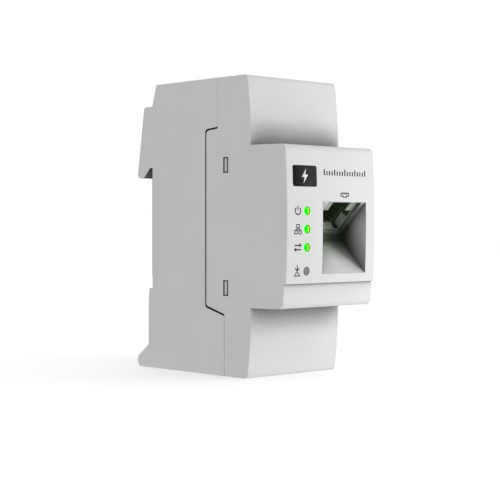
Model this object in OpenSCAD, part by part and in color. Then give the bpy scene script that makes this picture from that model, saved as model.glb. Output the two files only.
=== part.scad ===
// Two-module smart electric meter for a 35 mm mounting rail.
// Origin: centre of the rail seat on the back. +Y points to the wall, -Y to the reader, +Z up.

/* [Body] */
// Width of the meter, two rail modules
body_w = 36; // [35.6:0.1:37]
// Height of the meter
body_h = 86; // [85:0.5:88]
// Thickness of the moulded walls
wall = 1.8; // [1.6:0.1:2]
// Rail seat to the foot of each shoulder
shoulder_depth = 44.1; // [43.6:0.1:44.6]
// Radius of the gentle curve of each shoulder, seen from the side
shoulder_r = 129; // [100:1:200]

/* [Raised front] */
// Rail seat to the middle of the front face
face_depth = 58.5; // [58:0.1:59]
// Height of the raised front where it meets the shoulders
raised_h = 46; // [45:0.1:46]
// Height lost to draft at the front edge of the raised front
raised_draft = 0.5; // [0.2:0.1:0.8]
// Radius of the barrel curve of the front face
face_r = 313; // [250:1:500]
// How far the lower strip of the front face is set back
strip_step = 0.7; // [0.5:0.1:0.9]
// Height of the edge above the lower strip
strip_z = -15.9; // [-16.2:0.1:-15.4]

/* [Network port] */
// Width of the port opening
port_w = 18; // [17:0.1:18.4]
// Sideways place of the port opening's middle
port_x = 5.25; // [5:0.05:5.4]
// Height of the opening's upper edge
port_top = 7.1; // [6.8:0.1:7.4]
// Height of the opening's lower edge
port_bottom = -13.4; // [-13.6:0.1:-13]
// Depth of the recess behind the front face
port_depth = 9.6; // [9:0.1:9.7]
// Sideways shift of the jack from the opening's middle
jack_shift = 0.6; // [0:0.1:0.7]

/* [Lights and button] */
// Sideways place of the lights and the button
light_x = -10; // [-10.4:0.1:-9.6]
// Height of the top light
light_top = 4.35; // [4:0.05:4.6]
// Distance from one light to the next
light_pitch = 5.08; // [4.9:0.01:5.2]
// Diameter of a light pipe
light_d = 2.4; // [2:0.1:2.6]
// Height of the reset button
button_z = -12.4; // [-12.8:0.1:-12]
// Diameter of the reset button
button_d = 2.3; // [2:0.1:2.4]

/* [Rail fixing] */
// Height of the rail that the back takes
rail_h = 35; // [35:0.1:35.3]
// Thickness of the rail's flange
rail_t = 1; // [1:0.1:1.1]
// How far the hook and the feet stand behind the rail seat
hook_out = 7; // [6.6:0.1:7.2]
// Width of the latch
latch_w = 16; // [14:0.5:16]

/* [Terminals] */
// Distance from the rail seat to the middle of the wire entries
entry_depth = 23; // [22.5:0.1:23.5]
// Width of the busbars
busbar_w = 6; // [5:0.1:6]
// Thickness of the busbars
busbar_t = 1.2; // [1:0.1:1.2]
// Size of a bus terminal compared with a power terminal
bus_scale = 0.45; // [0.42:0.01:0.46]

/* [Boards] */
// Thickness of the circuit boards
board_t = 1.6; // [1:0.1:1.6]
// Sideways place of the main board's left face
board_x = -4.6; // [-4.7:0.05:-4.5]

/* [Hidden] */

$fn = 48;
// Margin by which a cutter runs past the face it cuts.
over = 1;

half_w = body_w / 2;
half_h = body_h / 2;
in_w = half_w - wall;
in_h = half_h - wall;

// Back of the body: seat pad, the wall just behind it, and the slope at the top.
back_wall_y = -0.2;
back_in_y = back_wall_y - wall;
seat_top = 14.6;
seat_bottom = -15.2;
slope_z = 36.55;
slope_in = 1.85;
hook_bottom = 14.8;
hook_top_out = 3.95;
notch_top = 17.85;
notch_slot = rail_t + 0.1;
notch_out = 4.1;
hook_pockets = 4;
hook_rib = 1.4;
hook_pocket_z = [20, 35];
hook_skin = 1.6;
corner_r = 1.5;

// Feet beside the latch.
foot_in = 11.8;
foot_top = -18.8;
foot_step = 1.3;
foot_plate = 1.7;
foot_flare_z = [-36, -39.3];

// Seam between the two shells, in side view.
seam_top_y = -30.1;
seam_mid_y = -24.65;
seam_low_y = -32.9;
seam_upper_z = 28.8;
seam_diag_z = [-23.2, -25.7];
seam_r = 0.9;
seam_gap = 0.5;
seam_tight_upper = 0.04;
seam_tight_lower = 0.08;
lip_t = 1.1;
lip_gap = 0.1;
lip_y = [-36.6, -21.5];
lip_z = [-21.4, 26.8];
lip_end_y = -28.1;
lip_end_z = [-27.4, 29.8];
end_lip_y = [-35.5, -28.5];

// Snap windows in the cover and the lugs that fill them.
window_y = [-34.65, -32.5];
window_z = [15.4, 19.9];
lug_gap = 0.25;
lug_x = half_w - 0.3;
lug_ramp_y = 0.65;
lug_ramp_x = 0.9;

// Front face.
raised_half = raised_h / 2;
front_half = (raised_h - raised_draft) / 2;
face_corner_r = 1.7;
face_mid_z = 1.8;
face_in_y = -face_depth + wall;
strip_in_y = face_in_y + 1.2;
strip_wall = 1.2;
face_steps = 24;
strip_steps = 4;
shoulder_steps = 8;

// Wedge-shaped port recess: its deep wall and the plane that the jack looks out of.
port_in_y = -face_depth + port_depth;
port_deep_top = port_top + face_y(port_top) - port_in_y;
port_deep_bottom = port_bottom - face_y(port_bottom) + port_in_y;
port_skin = 0.9;
jack_x = port_x + jack_shift;
jack_half_w = 7;
jack_u = [0.45, 12.9];
jack_w = [0.95, 16.5];
jack_gap = 0.25;
jack_window_half = 6.8;
jack_window_u = [0.3, 12.1];
jack_slot_u = [4.4, 11.2];
jack_slot_half = 5.9;
jack_mouth_half = 6.3;
jack_mouth_u = 12;
jack_mouth_w = 4;
jack_notch_half = 3.6;
jack_notch_u = 1;
jack_slot_deep = 12.5;
shield_t = 0.3;
finger_t = 0.2;
finger_w = [1.1, 3.3];
side_finger_u = [7.1, 11.6];
side_finger_in = 0.4;
floor_finger_half = 4.5;
floor_finger_in = 0.7;
contact_count = 8;
contact_pitch = 1.02;
contact_w = 0.46;

// Latch.
latch_half = latch_w / 2;
latch_flange = latch_half + 1.6;
latch_y = [0, 4.4];
latch_flange_y = 2.4;
latch_z = [-42.4, -rail_h / 2 - 0.15];
latch_flange_z = [-40, -20.1];
beak_y = rail_t + 0.15;
beak_top = -15.9;
guide_gap = 0.2;
guide_t = 1.6;
latch_window_half = 2.3;
post_z = [-36, -34];
latch_window_z = [-36.1, -22.4];
spring_y = 2;
spring_r = 1.35;
spring_wire = 0.55;
spring_turns = 7;
spring_sides = 6;
spring_steps = 14;

// Terminals: places in a power terminal, measured from the entry's middle on the block's outer face.
// "v" runs towards the wall and "d" into the block.
power_x = [-11.2, 4];
power_block_x = [-15.9, 8.2];
bus_x = [10.5, 14];
bus_block_x = [8.5, 15.9];
block_gap = 0.1;
block_roof = 1.6;
block_end = in_h - block_gap;
entry_half = 2.8;
slot_v = [4.2, 7.6];
slot_half = 2.4;
chamber_v = [-4, 13.6];
chamber_half = 3.2;
chamber_d = 14.2;
key_half = 2.2;
key_v = [4.4, 7.4];
key_tip = [4.7, 6.4];
key_flange = 2.9;
key_flange_d = [1.7, 3.2];
key_head = 1.3;
clamp_t = 0.6;
clamp_half = 2.6;
clamp_loop = [[12.8, 12], [12.8, 4.6], [12.5, 3.9], [11.9, 3.4], [11.2, 3.3], [10.5, 3.6]];
clamp_tip = [-2.3, 10.8];
funnel_half = 3.5;

// Busbars.
bar_front_y = -entry_depth - 3.3;
bar_back_y = -4.6;
bar_end_z = 37.5;
bar_run_z = 26;
shunt_half = 7;

// Lights, button and switch; lengths along Y are measured from the front board or the front wall.
lamp_half = [1, 0.6];
lamp_t = 0.9;
pipe_gap = 1.2;
pipe_flange = 0.6;
pipe_flange_y = [0.05, 0.85];
hole_gap = 0.05;
button_sink = 0.35;
button_flange = 0.9;
button_flange_y = [0.1, 1];
button_gap = 4.2;
switch_half = 3;
switch_t = 3.4;
plunger_r = 1.5;
plunger_y = [4.15, 3];
plunger_well = 2.4;
boss_r = 1.9;
boss_hole_r = 0.8;

// Boards.
main_y = [-40, -7];
main_half = 24.6;
tongue_y = -45;
tongue_half = 19.5;
front_board_y = [-47, -47 + board_t];
front_board_x = [-15.8, -5];
front_board_z = [-20.4, 20];
screw_x = -13.4;
screw_z = [-18.2, 17.2];
lan_board_u = [jack_u[1] + 0.2, jack_u[1] + 0.2 + board_t];
lan_board_w = [1.4, 20];
lan_board_half = 7.7;
rib_z = 21.5;
rib_t = 2.4;
rib_wall = 1.6;
rib_grip = 2.2;
pad_half = [2, 3];
pad_z = 12;
screw_hole_r = 0.95;
screw_r = 0.75;
screw_len = 5;
screw_head_r = 1.7;
screw_head_t = 1.1;
screw_cross = [1.1, 0.25];
screw_cross_deep = 0.5;

// Parts on the boards, from the board's face.
pin_pitch = 2.54;
pin_t = 0.6;
front_header_w = [0.4, 3];
front_header_t = 2.5;
front_header_z = [-10, 5];
front_pins = 6;
lan_header_w = 2.4;
lan_header_in = [4, 18];
lan_pins = 5;
lan_transformer_x = [-3, 6];
lan_transformer_t = 2.6;
lan_transformer_in = [6, 15];
chip_t = [0.2, 1.3];
chip_leg_t = 0.6;
chip_leg = 0.9;
bobbin_t = 1.4;
bobbin_y = [-29, -16];
bobbin_z = [-21, -8];
core_in = 0.5;
core_top = 10;
winding_x = [3, 8.4];
winding_y = [-29, -18.2];
winding_w = 2.2;
winding_z = [-18.5, -10.5];
capacitor_at = [[-11.8, -15], [-11.8, -4], [-22, 1]];
capacitor_d = [8, 7];
capacitor_h = [10.4, 0.6];
varistor_at = [5.6, -12.6, 12];
varistor_d = 9;
varistor_t = 4;
varistor_leg = [1.6, 0.3, 2.5];
fuse_t = 4.4;
fuse_y = [-24, -20];
fuse_z = [9, 19.5];

// Leads.
sense_z = 5.5;
sense_r = 0.5;
sense_out = 4;
sense_in = 2;
bus_lead_r = 0.6;
bus_lead_z = [22, 1.6];
bus_contact_v = [3.8, 2.9];
bus_contact_z = 30;
bus_contact_end = 2.4;

// Points of an arc, for outlines.
function arc(centre, r, from, to, n = 6) =
    [for (i = [0:n]) centre + r * [cos(from + (to - from) * i / n), sin(from + (to - from) * i / n)]];
// Turns a list of points upside down in side view and keeps its direction round the outline.
function flipped(points) = [for (i = [len(points) - 1:-1:0]) [points[i].x, -points[i].y]];
// Unit vector from a to b, and that vector turned a quarter turn left.
function unit(a, b) = (b - a) / norm(b - a);
function left(v) = [-v.y, v.x];
// Outward shift of point i of a path, mitred where the path bends.
function mitre(path, i) =
    let (n = len(path) - 1,
         a = i > 0 ? left(unit(path[i - 1], path[i])) : left(unit(path[0], path[1])),
         b = i < n ? left(unit(path[i], path[i + 1])) : a,
         m = (a + b) / norm(a + b))
    m / (m * b);
// Outline of a bent strip of thickness t along a path.
function strip(path, t) = concat(
    [for (i = [0:len(path) - 1]) path[i] + mitre(path, i) * t / 2],
    [for (i = [len(path) - 1:-1:0]) path[i] - mitre(path, i) * t / 2]);

// Side-view curves: the shoulder and the barrel-shaped face, as depth at height z.
function shoulder_y(z) = -shoulder_depth + pow(abs(z) - raised_half, 2) / (2 * shoulder_r);
function face_y(z) = -face_depth + pow(z - face_mid_z, 2) / (2 * face_r);
function shoulder_line(shift) =
    [for (i = [0:shoulder_steps])
        let (z = raised_half + (half_h - corner_r - raised_half) * i / shoulder_steps)
        [shoulder_y(z) + shift, z]];

// Draws a side view (y, z) and gives it a width from x0 to x1.
module side(x0, x1, points) {
    translate([x0, 0, 0]) rotate([90, 0, 90]) linear_extrude(x1 - x0) polygon(points);
}

// A box between two corners given as ranges.
module block(x, y, z) {
    translate([x[0], y[0], z[0]]) cube([x[1] - x[0], y[1] - y[0], z[1] - z[0]]);
}

// A round bar along +Y.
module rod_y(x, z, r, y) {
    translate([x, y[0], z]) rotate([-90, 0, 0]) cylinder(r = r, h = y[1] - y[0]);
}

// A square wire funnel, wide at z1 and narrow at z0.
module funnel(x, y, z0, z1, half0, half1) {
    translate([x, y, z0]) rotate(45)
        cylinder(r1 = half0 * sqrt(2), r2 = half1 * sqrt(2), h = z1 - z0, $fn = 4);
}

// Both sides of the meter, mirrored left to right.
module both_sides() {
    children();
    mirror([1, 0, 0]) children();
}

// Bottom end of the meter: the top end's children, mirrored.
module bottom_end() {
    mirror([0, 0, 1]) children();
}

// Places children in the jack's frame: +Y is the way a plug goes in, -Z runs down the slanted plane.
module jack_frame() {
    translate([jack_x, face_y(port_top), port_top]) rotate([45, 0, 0]) children();
}

// A box in the jack's frame: half width, u down the slanted plane and w into the jack.
module jack_block(x, u, w) {
    block(x, w, [-u[1], -u[0]]);
}

// Closed outline of the whole body without its raised front, hook and feet.
function body_outline() =
    let (corner = half_h - corner_r,
         front = concat(shoulder_line(0), arc([shoulder_y(corner) + corner_r, corner], corner_r, 180, 90)))
    concat(front, [[-slope_in + back_wall_y, half_h], [0, slope_z], [0, notch_top], [back_wall_y, notch_top],
                   [back_wall_y, -half_h]], flipped(front));

function body_cavity() =
    let (front = concat(shoulder_line(wall), [[shoulder_y(half_h) + wall, in_h]]))
    concat(front, [[back_in_y - slope_in, in_h], [back_in_y, slope_z - wall], [back_in_y, -in_h]],
           flipped(front));

// Raised front: from the shoulders to the barrel face, with the lower strip set back.
function raised_outline() =
    let (z0 = -front_half + face_corner_r, z1 = front_half - face_corner_r,
         face = [for (i = [0:face_steps]) let (z = strip_z + (z1 - strip_z) * i / face_steps) [face_y(z), z]],
         low = [for (i = [0:strip_steps])
             let (z = z0 + (strip_z - z0) * i / strip_steps) [face_y(z) + strip_step, z]])
    concat([[-shoulder_depth + wall, -raised_half], [-shoulder_depth, -raised_half]],
           arc([low[0].x + face_corner_r, z0], face_corner_r, 270, 190),
           low, face,
           arc([face_y(z1) + face_corner_r, z1], face_corner_r, 170, 90),
           [[-shoulder_depth, raised_half], [-shoulder_depth + wall, raised_half]]);

// Inside of the front wall at the height of a screw boss.
function boss_y(z) = z < strip_z ? strip_in_y : face_in_y;

// Outline of everything in front of the seam; the gaps pull it clear of the rear housing.
function cover_region(gap, upper, lower) = concat(
    [[-80, 60], [seam_top_y - upper, 60], [seam_top_y - upper, seam_upper_z - gap],
     [seam_mid_y - seam_r - gap, seam_upper_z - 0.4 - gap]],
    arc([seam_mid_y - seam_r - gap, seam_upper_z - 0.5 - seam_r - gap], seam_r, 80, 0, 4),
    arc([seam_mid_y - seam_r - gap, seam_diag_z[0] + 0.4 + gap], seam_r, 0, -60, 4),
    [[seam_low_y - lower, seam_diag_z[1] + gap], [seam_low_y - lower, -60], [-80, -60]]);

module rear_housing() color("gainsboro") {
    difference() {
        union() {
            difference() {
                side(-half_w, half_w, body_outline());
                side(-in_w, in_w, body_cavity());
                side(-half_w - over, half_w + over, cover_region(0, 0, 0));
            }
            block([-half_w, half_w], [-1, 0], [seat_bottom, seat_top]);
            rail_hook();
            both_sides() {
                foot();
                latch_guide();
                snap_lip();
            }
            end_lips();
            block([-latch_window_half + 0.2, latch_window_half - 0.2], [back_in_y, latch_y[1] - 0.7], post_z);
            board_ribs();
            busbar_pads();
        }
        power_openings();
        bottom_end() power_openings();
        bus_openings();
    }
}

// Fixed hook across the top of the rail seat, cored out from behind.
module rail_hook() {
    pocket_w = (2 * in_w - (hook_pockets - 1) * hook_rib) / hook_pockets;
    difference() {
        side(-half_w, half_w, concat(
            [[-1, slope_z], [-1, notch_top], [notch_slot, notch_top], [notch_out, hook_bottom]],
            arc([hook_out - corner_r, hook_bottom + corner_r], corner_r, 270, 352, 5),
            arc([hook_top_out - 0.8, slope_z - 0.8], 0.8, 8, 90, 4)));
        for (i = [0:hook_pockets - 1])
            block([-in_w + i * (pocket_w + hook_rib), -in_w + i * (pocket_w + hook_rib) + pocket_w],
                  [hook_skin, hook_out + over], hook_pocket_z);
    }
}

// Foot on one side of the latch: a thin plate that flares out at the bottom.
module foot() {
    side(foot_in, half_w, concat(
        [[-1, -half_h], [-1, foot_top], [foot_step, foot_top], [foot_plate, foot_top - 3.5],
         [foot_plate, foot_flare_z[0]]],
        arc([hook_out - corner_r, foot_flare_z[1] - corner_r], corner_r, 55, 0, 4),
        arc([hook_out - corner_r, -half_h + corner_r], corner_r, 0, -90, 4)));
}

// Rail that holds one edge of the latch.
module latch_guide() {
    lip_z0 = latch_flange_z[0] + 2;
    lip_y0 = latch_flange_y + guide_gap;
    end_z = latch_flange_z[1] + 0.1;
    block([latch_flange + guide_gap, foot_in + 0.2], [-1, lip_y0 + guide_t], [lip_z0, end_z]);
    block([latch_half + guide_gap, foot_in], [lip_y0, lip_y0 + guide_t], [lip_z0, end_z]);
    block([latch_half + guide_gap, foot_in + 0.2], [-1, lip_y0 + guide_t], [end_z, foot_top]);
}

// Inner lip that closes the side seam, with the two snap lugs. Its front part covers the seam's ends too.
module snap_lip() {
    x0 = in_w - lip_gap - lip_t;
    block([x0, in_w - lip_gap], lip_y, lip_z);
    block([x0, in_w - lip_gap], [lip_y[0], lip_end_y], lip_end_z);
    block([x0, in_w + 0.2], [seam_mid_y, lip_y[1]], lip_z);
    for (z0 = [window_z[0] + lug_gap, -window_z[1] + lug_gap])
        translate([0, 0, z0]) linear_extrude(window_z[1] - window_z[0] - 2 * lug_gap)
            polygon([[x0, window_y[0] + lug_gap], [lug_x - lug_ramp_x, window_y[0] + lug_gap],
                     [lug_x, window_y[0] + lug_gap + lug_ramp_y], [lug_x, window_y[1] - lug_gap],
                     [x0, window_y[1] - lug_gap]]);
}

// Lips inside the top and bottom walls, under the seam.
module end_lips() {
    z0 = in_h - lip_gap - lip_t;
    for (z = [1, -1]) {
        inner = z > 0 ? [z0, in_h - lip_gap] : [-in_h + lip_gap, -z0];
        root = z > 0 ? [z0, in_h + 0.2] : [-in_h - 0.2, -z0];
        seam = z > 0 ? seam_top_y : seam_low_y;
        block([-in_w + 2, in_w - 2], [seam - 3, end_lip_y[1]], inner);
        block([-in_w - 0.2, in_w + 0.2], [seam, end_lip_y[1]], root);
    }
}

// Slotted ribs that hold the back edge of the main board.
module board_ribs() {
    for (z = [-rib_z, rib_z]) difference() {
        block([board_x - rib_wall, board_x + board_t + rib_wall],
              [main_y[1] - rib_grip, back_wall_y - 0.5], [z - rib_t / 2, z + rib_t / 2]);
        block([board_x - 0.1, board_x + board_t + 0.1],
              [main_y[1] - rib_grip - over, main_y[1] + 0.1], [z - rib_t, z + rib_t]);
    }
}

// Pads that the busbars lie on.
module busbar_pads() {
    for (x = power_x, z = [-pad_z, pad_z])
        block([x - pad_half[0], x + pad_half[0]], [bar_back_y + busbar_t / 2, back_wall_y - 0.5],
              [z - pad_half[1], z + pad_half[1]]);
}

// Wire funnels and release slots of the two power terminals in one end wall.
module power_openings() {
    for (x = power_x) {
        funnel(x, -entry_depth, in_h - 0.3, half_h + 0.01, entry_half + 0.1, funnel_half);
        block([x - entry_half - 0.1, x + entry_half + 0.1],
              [-entry_depth - entry_half - 0.1, -entry_depth + entry_half + 0.1], [in_h - 3, in_h + 0.2]);
        block([x - slot_half - 0.1, x + slot_half + 0.1],
              [-entry_depth + slot_v[0] - 0.1, -entry_depth + slot_v[1] + 0.1], [in_h - 3, half_h + over]);
    }
}

// The same for the two small bus terminals, top end only.
module bus_openings() {
    s = bus_scale;
    entry = entry_half * s + 0.1;
    slot = slot_half * s + 0.1;
    depth = [in_h - 3, half_h + over];
    for (x = bus_x) {
        block([x - entry, x + entry], [-entry_depth - entry, -entry_depth + entry], depth);
        block([x - slot, x + slot],
              [-entry_depth + slot_v[0] * s - 0.1, -entry_depth + slot_v[1] * s + 0.1], depth);
    }
}

module front_cover() color("whitesmoke") {
    difference() {
        union() {
            difference() {
                intersection() {
                    union() {
                        side(-half_w, half_w, body_outline());
                        side(-half_w, half_w, raised_outline());
                    }
                    side(-half_w - over, half_w + over,
                         cover_region(seam_gap, seam_tight_upper, seam_tight_lower));
                }
                side(-in_w, in_w, body_cavity());
                block([-in_w, in_w], [face_in_y, -shoulder_depth + 2 * wall],
                      [strip_z + strip_wall, front_half - wall]);
                block([-in_w, in_w], [strip_in_y, -shoulder_depth + 2 * wall],
                      [-front_half + wall, strip_z + strip_wall + over]);
            }
            port_walls();
            for (z = screw_z)
                rod_y(screw_x, z, boss_r, [boss_y(z) - 0.5, front_board_y[0]]);
        }
        side(port_x - port_w / 2, port_x + port_w / 2, port_void());
        jack_frame() {
            jack_block([-jack_window_half, jack_window_half], jack_window_u, [-0.2, 3]);
            jack_block([-jack_half_w - 0.4, jack_half_w + 0.4],
                       [jack_u[0] - jack_gap, lan_board_u[1] + 0.2], [port_skin, lan_board_w[1]]);
        }
        for (i = [0:2])
            rod_y(light_x, light_top - i * light_pitch, light_d / 2 + hole_gap,
                  [-face_depth - over, face_in_y + over]);
        rod_y(light_x, button_z, button_d / 2 + hole_gap, [-face_depth - over, face_in_y + over]);
        for (z = screw_z)
            rod_y(screw_x, z, boss_hole_r, [boss_y(z) + 1, front_board_y[0] + over]);
        both_sides() for (z = [[window_z[0], window_z[1]], [-window_z[1], -window_z[0]]])
            block([in_w - over, half_w + over], window_y, z);
    }
}

// Wedge-shaped space in front of the jack, seen from the side.
function port_void() = [
    [-face_depth - 3, port_top], [face_y(port_top), port_top], [port_in_y, port_deep_top],
    [port_in_y, port_deep_bottom], [face_y(port_bottom), port_bottom], [-face_depth - 3, port_bottom]];

// Walls round that space.
module port_walls() {
    s = port_skin * sqrt(2);
    side(port_x - port_w / 2 - port_skin, port_x + port_w / 2 + port_skin, [
        [face_in_y - 0.5, port_top + wall], [face_in_y, port_top - wall + s],
        [port_in_y + port_skin, port_deep_top + s - port_skin],
        [port_in_y + port_skin, port_deep_bottom - s + port_skin],
        [face_in_y, port_bottom + wall - s], [face_in_y - 0.5, port_bottom - wall]]);
}

module rail_latch() color("dimgray") {
    pull_y = hook_out - 0.6;
    difference() {
        union() {
            block([-latch_flange, latch_flange], [latch_y[0], latch_flange_y], latch_flange_z);
            block([-latch_half, latch_half], latch_y, latch_z);
            side(-latch_half + 1, latch_half - 1, [
                [beak_y, latch_z[1] - 1], [beak_y, beak_top - 0.1], [beak_y + 0.7, beak_top],
                [latch_y[1], beak_top - 3.2], [latch_y[1], latch_z[1] - 1]]);
            side(-latch_half + 2, latch_half - 2, [
                [latch_y[1] - 1, latch_z[0]], [pull_y, latch_z[0]], [pull_y, latch_z[0] + 2.6],
                [latch_y[1], latch_z[0] + 5], [latch_y[1] - 1, latch_z[0] + 5]]);
        }
        block([-latch_window_half, latch_window_half], [latch_y[0] - over, latch_y[1] - 0.6], latch_window_z);
        block([-3, 3], [4, 5.4], [latch_z[0] - over, latch_z[0] + 3]);
    }
}

// Height of the coil after a number of turns: its first and last turns lie almost closed.
function coil_z(turn, z0, z1) =
    let (close = spring_wire * 1.2, open = (z1 - z0 - 2 * close) / (spring_turns - 2))
    turn < 1 ? z0 + turn * close
    : turn > spring_turns - 1 ? z1 - (spring_turns - turn) * close
    : z0 + close + (turn - 1) * open;

// Compression spring, as one closed helical tube.
module latch_spring() color("silver") {
    z0 = post_z[1] + spring_wire / 2;
    z1 = latch_window_z[1] - spring_wire / 2;
    rings = spring_turns * spring_steps;
    ring_points = [for (i = [0:rings], k = [0:spring_sides - 1])
        let (a = 360 * i / spring_steps, b = 360 * k / spring_sides, r = spring_r + spring_wire / 2 * cos(b))
        [r * cos(a), spring_y + r * sin(a), coil_z(i / spring_steps, z0, z1) + spring_wire / 2 * sin(b)]];
    quads = [for (i = [0:rings - 1], k = [0:spring_sides - 1])
        let (a = i * spring_sides + k, b = i * spring_sides + (k + 1) % spring_sides)
        [a, b, b + spring_sides, a + spring_sides]];
    first = [for (k = [spring_sides - 1:-1:0]) k];
    last = [for (k = [0:spring_sides - 1]) rings * spring_sides + k];
    polyhedron(ring_points, concat(quads, [first, last]), convexity = 10);
}

// Clear light pipe number i, counted from the top.
module light_pipe(i) color("lime") {
    z = light_top - i * light_pitch;
    rod_y(light_x, z, light_d / 2, [face_y(z), front_board_y[0] - pipe_gap]);
    rod_y(light_x, z, light_d / 2 + pipe_flange,
          [face_in_y + pipe_flange_y[0], face_in_y + pipe_flange_y[1]]);
}

module status_leds() color("palegreen") {
    for (i = [0:2])
        block([light_x - lamp_half[0], light_x + lamp_half[0]], [front_board_y[0] - lamp_t, front_board_y[0]],
              [light_top - i * light_pitch - lamp_half[1], light_top - i * light_pitch + lamp_half[1]]);
}

module reset_button() color("gray") {
    rod_y(light_x, button_z, button_d / 2, [-face_depth + button_sink, front_board_y[0] - button_gap]);
    rod_y(light_x, button_z, button_d / 2 + button_flange,
          [face_in_y + button_flange_y[0], face_in_y + button_flange_y[1]]);
}

module reset_switch() color("black") {
    difference() {
        block([light_x - switch_half, light_x + switch_half], [front_board_y[0] - switch_t, front_board_y[0]],
              [button_z - switch_half, button_z + switch_half]);
        rod_y(light_x, button_z, plunger_r + 0.1,
              [front_board_y[0] - switch_t - over, front_board_y[0] - plunger_well]);
    }
}

module reset_switch_plunger() color("ivory") {
    rod_y(light_x, button_z, plunger_r, [front_board_y[0] - plunger_y[0], front_board_y[0] - plunger_y[1]]);
}

module front_board() color("darkgreen") {
    difference() {
        block(front_board_x, front_board_y, front_board_z);
        for (z = screw_z)
            rod_y(screw_x, z, screw_hole_r, [front_board_y[0] - over, front_board_y[1] + over]);
    }
}

module front_board_screws() color("silver") {
    for (z = screw_z) difference() {
        union() {
            rod_y(screw_x, z, screw_r, [front_board_y[0] - screw_len, front_board_y[1]]);
            rod_y(screw_x, z, screw_head_r, [front_board_y[1], front_board_y[1] + screw_head_t]);
        }
        for (cross = [screw_cross, [screw_cross[1], screw_cross[0]]])
            block([screw_x - cross[0], screw_x + cross[0]],
                  [front_board_y[1] + screw_head_t - screw_cross_deep,
                   front_board_y[1] + screw_head_t + over],
                  [z - cross[1], z + cross[1]]);
    }
}

// Pin header that joins the front board to the main board.
module front_board_header() color("black") {
    x_edge = front_board_x[1] - front_header_w[0];
    block([front_board_x[1] - front_header_w[1], x_edge],
          [front_board_y[1], front_board_y[1] + front_header_t], front_header_z);
    for (i = [0:front_pins - 1]) {
        z = front_header_z[0] + 1 + i * pin_pitch;
        block([x_edge, board_x], [front_board_y[1] + 1, front_board_y[1] + 1 + pin_t], [z, z + pin_t]);
    }
}

module main_board() color("darkgreen") {
    block([board_x, board_x + board_t], main_y, [-main_half, main_half]);
    block([board_x, board_x + board_t], [tongue_y, main_y[0]], [-tongue_half, tongue_half]);
}

// Flat chip with a row of legs on two sides, on the left face of the main board.
module chip(y, z, size, legs) {
    pitch = size / legs;
    block([board_x - chip_t[1], board_x - chip_t[0]], [y - size / 2, y + size / 2],
          [z - size / 2, z + size / 2]);
    for (i = [0:legs - 1], z0 = [z + size / 2, z - size / 2 - chip_leg]) {
        y0 = y - size / 2 + (i + 0.25) * pitch;
        block([board_x - chip_leg_t, board_x], [y0, y0 + pitch / 2], [z0, z0 + chip_leg]);
    }
}

module microcontroller() color("black") chip(-30, 9, 10, 12);

module metering_chip() color("black") chip(-15, -8, 6, 8);

module ethernet_chip() color("black") chip(-36, -10, 7, 9);

module power_transformer() color("gold") {
    x0 = board_x + board_t;
    block([x0, x0 + bobbin_t], bobbin_y, bobbin_z);
    difference() {
        block([x0 + bobbin_t, x0 + core_top], [bobbin_y[0] + core_in, bobbin_y[1] - core_in],
              [bobbin_z[0] + core_in, bobbin_z[1] - core_in]);
        for (y = winding_y)
            block([x0 + winding_x[0], x0 + winding_x[1]], [y, y + winding_w], winding_z);
    }
}

module filter_capacitors() color("navy") {
    x0 = board_x + board_t;
    for (p = capacitor_at)
        translate([x0, p.x, p.y]) rotate([0, 90, 0]) {
            cylinder(d = capacitor_d[0], h = capacitor_h[0]);
            translate([0, 0, capacitor_h[0]])
                cylinder(d1 = capacitor_d[0], d2 = capacitor_d[1], h = capacitor_h[1]);
        }
}

module surge_varistor() color("royalblue") {
    x0 = board_x + board_t;
    at = [x0 + varistor_at[0], varistor_at[1], varistor_at[2]];
    leg = varistor_leg[1];
    translate(at) rotate([90, 0, 0]) cylinder(d = varistor_d, h = varistor_t, center = true);
    for (z = [at[2] - varistor_leg[2], at[2] + varistor_leg[2]])
        block([x0, x0 + varistor_leg[0]], [at[1] - leg, at[1] + leg], [z - leg, z + leg]);
}

module fuse() color("beige") {
    x0 = board_x + board_t;
    block([x0, x0 + fuse_t], fuse_y, fuse_z);
}

module lan_board() color("darkgreen") jack_frame()
    jack_block([-lan_board_half, lan_board_half], lan_board_u, lan_board_w);

// Pin header between the network board and the main board.
module lan_board_header() color("black") {
    x_main = board_x + board_t - jack_x;
    jack_frame() {
        jack_block([-lan_board_half, -lan_board_half + lan_header_w],
                   [lan_board_u[1], lan_board_u[1] + lan_header_w], lan_header_in);
        for (i = [0:lan_pins - 1]) {
            w = lan_header_in[0] + 1 + i * pin_pitch;
            jack_block([x_main, -lan_board_half], [lan_board_u[1] + 0.9, lan_board_u[1] + 0.9 + pin_t],
                       [w, w + pin_t]);
        }
    }
}

module lan_transformer() color("black") jack_frame()
    jack_block(lan_transformer_x, [lan_board_u[1], lan_board_u[1] + lan_transformer_t], lan_transformer_in);

// Plastic body of the network jack, with the plug opening and its latch notch.
module lan_jack() color("dimgray") jack_frame() difference() {
    jack_block([-jack_half_w + shield_t, jack_half_w - shield_t], [jack_u[0] + shield_t, jack_u[1]],
               [jack_w[0] + shield_t, jack_w[1]]);
    jack_block([-jack_slot_half, jack_slot_half], jack_slot_u, [0, jack_slot_deep]);
    jack_block([-jack_mouth_half - 0.2, jack_mouth_half + 0.2], [jack_slot_u[0], jack_mouth_u + 0.3],
               [0, jack_mouth_w]);
    jack_block([-jack_notch_half, jack_notch_half], [jack_notch_u, jack_slot_u[1]], [0, jack_slot_deep]);
    jack_block([-4.6, 4.6], [jack_slot_u[1] - 0.1, jack_slot_u[1] + 1.1], [2, jack_slot_deep]);
}

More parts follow.
